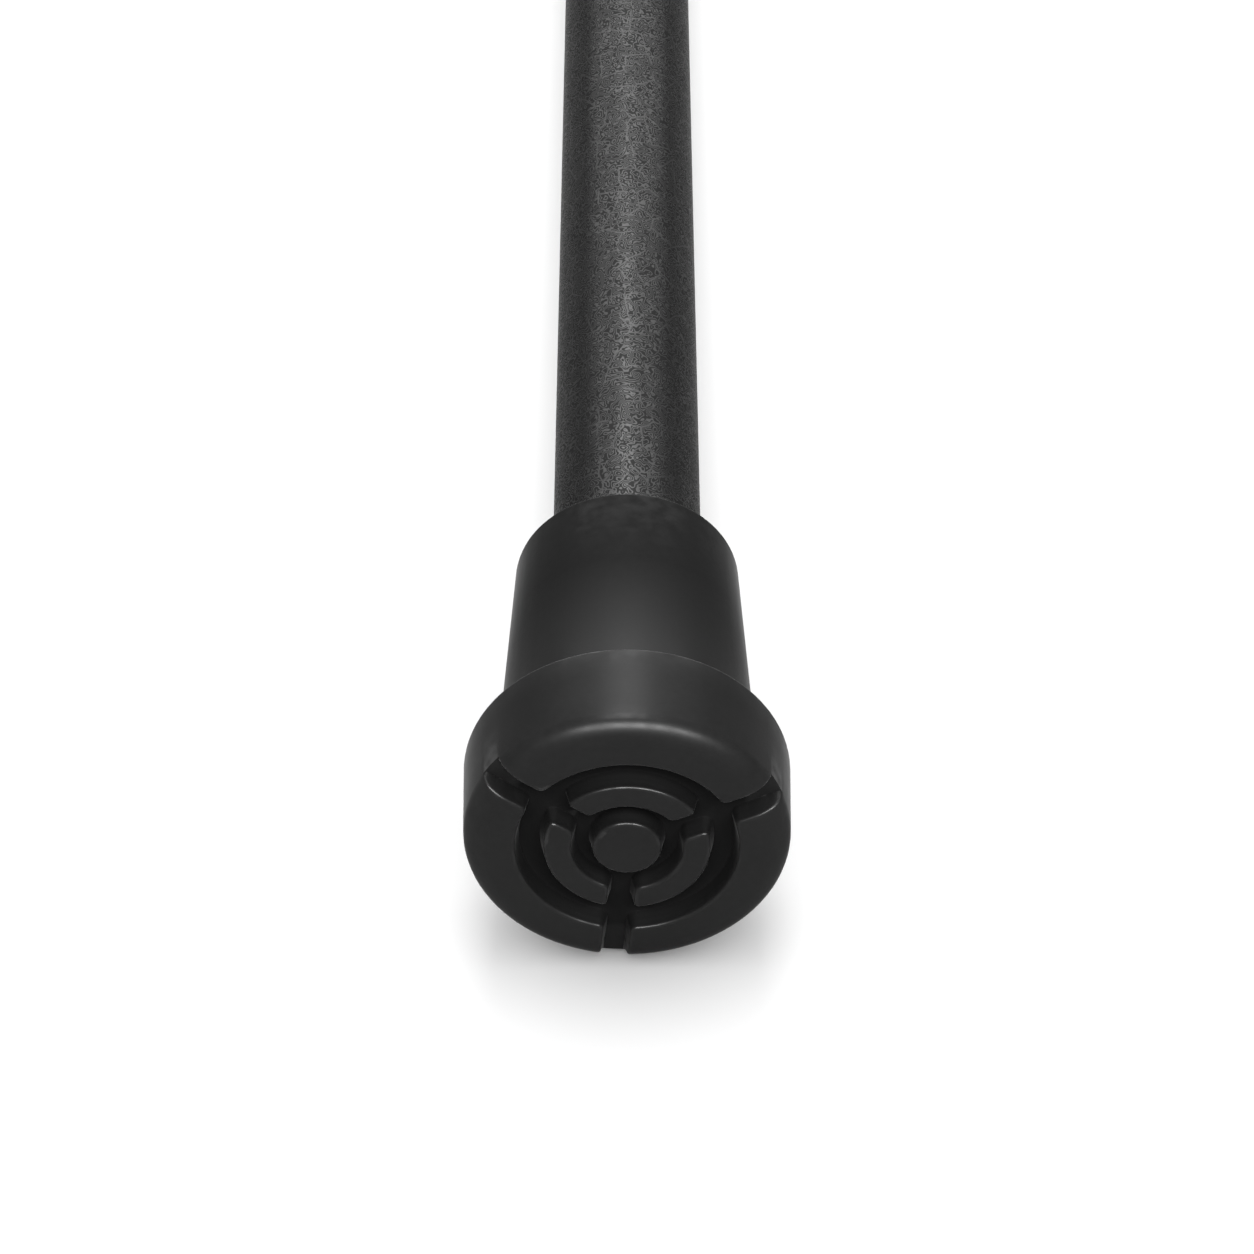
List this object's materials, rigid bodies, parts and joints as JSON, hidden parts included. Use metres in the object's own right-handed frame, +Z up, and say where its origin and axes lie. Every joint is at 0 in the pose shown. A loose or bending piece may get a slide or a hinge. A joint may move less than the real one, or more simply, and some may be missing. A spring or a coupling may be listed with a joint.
{
  "type": "walking cane",
  "caption": "Straight black aluminium support cane with a height-adjustable handle tube, derby handle, locking ring and broad rubber tip with a slotted ring tread.",
  "frame": {"origin": "middle of the rubber tip's walking face, on the shaft's axis", "axes": "+Y along the shaft's axis towards the handle, +X towards the palm end of the handle, +Z up out of the cane's side as it lies; the shaft's holes and snap button face +Z"},
  "size_m": [0.1318, 0.8229, 0.0458],
  "materials": {
    "tip_rubber": "satin moulded rubber",
    "washer_steel": "zinc plated",
    "plug_nylon": "moulded",
    "wrinkle_coat": "black wrinkle powder coat",
    "collet_nylon": "moulded",
    "ring_nylon": "fine spark-eroded texture",
    "damping_rubber": "smooth",
    "anodised_tube": "black anodised satin",
    "bush_nylon": "natural moulded nylon",
    "spring_steel": "rolled strip",
    "button_steel": "nickel plated",
    "collar_metal": "turned, black anodised",
    "core_casting": "as cast",
    "pin_steel": "hardened",
    "handle_nylon": "fine moulded grain",
    "soft_grip": "soft, stippled",
    "screw_steel": "black oxide"
  },
  "bodies": {
    "shaft": {"ferrule": "tip_rubber", "ferrule_washer": "washer_steel", "shaft_foot_plug": "plug_nylon", "shaft_tube": "wrinkle_coat", "shaft_collet": "collet_nylon"},
    "lock": {"locking_ring": "ring_nylon", "damping_ring": "damping_rubber"},
    "handle": {"handle_tube": "anodised_tube", "glide_bush": "bush_nylon", "button_spring": "spring_steel", "handle_collar": "collar_metal", "handle_core": "core_casting", "cross_pin": "pin_steel", "handle_shell_left": "handle_nylon", "handle_shell_right": "handle_nylon", "palm_pad": "soft_grip", "shell_screw_1": "screw_steel", "shell_screw_2": "screw_steel", "shell_screw_3": "screw_steel"},
    "button": {"snap_button": "button_steel"}
  },
  "joints": [
    {"name": "height_slide", "type": "slide", "parent": "shaft", "child": "handle", "axis": [0, 1, 0], "range_m": [-0.0762, 0.0762]},
    {"name": "ring_turn", "type": "hinge", "parent": "shaft", "child": "lock", "pos_m": [0, 0.64, 0], "axis": [0, 1, 0], "range_deg": [0, 270]},
    {"name": "button_press", "type": "slide", "parent": "handle", "child": "button", "axis": [0, 0, -1], "range_m": [0, 0.0042], "stiffness_N_per_m": 1500, "springref_m": -0.0012, "deforming": ["button_spring"]}
  ]
}
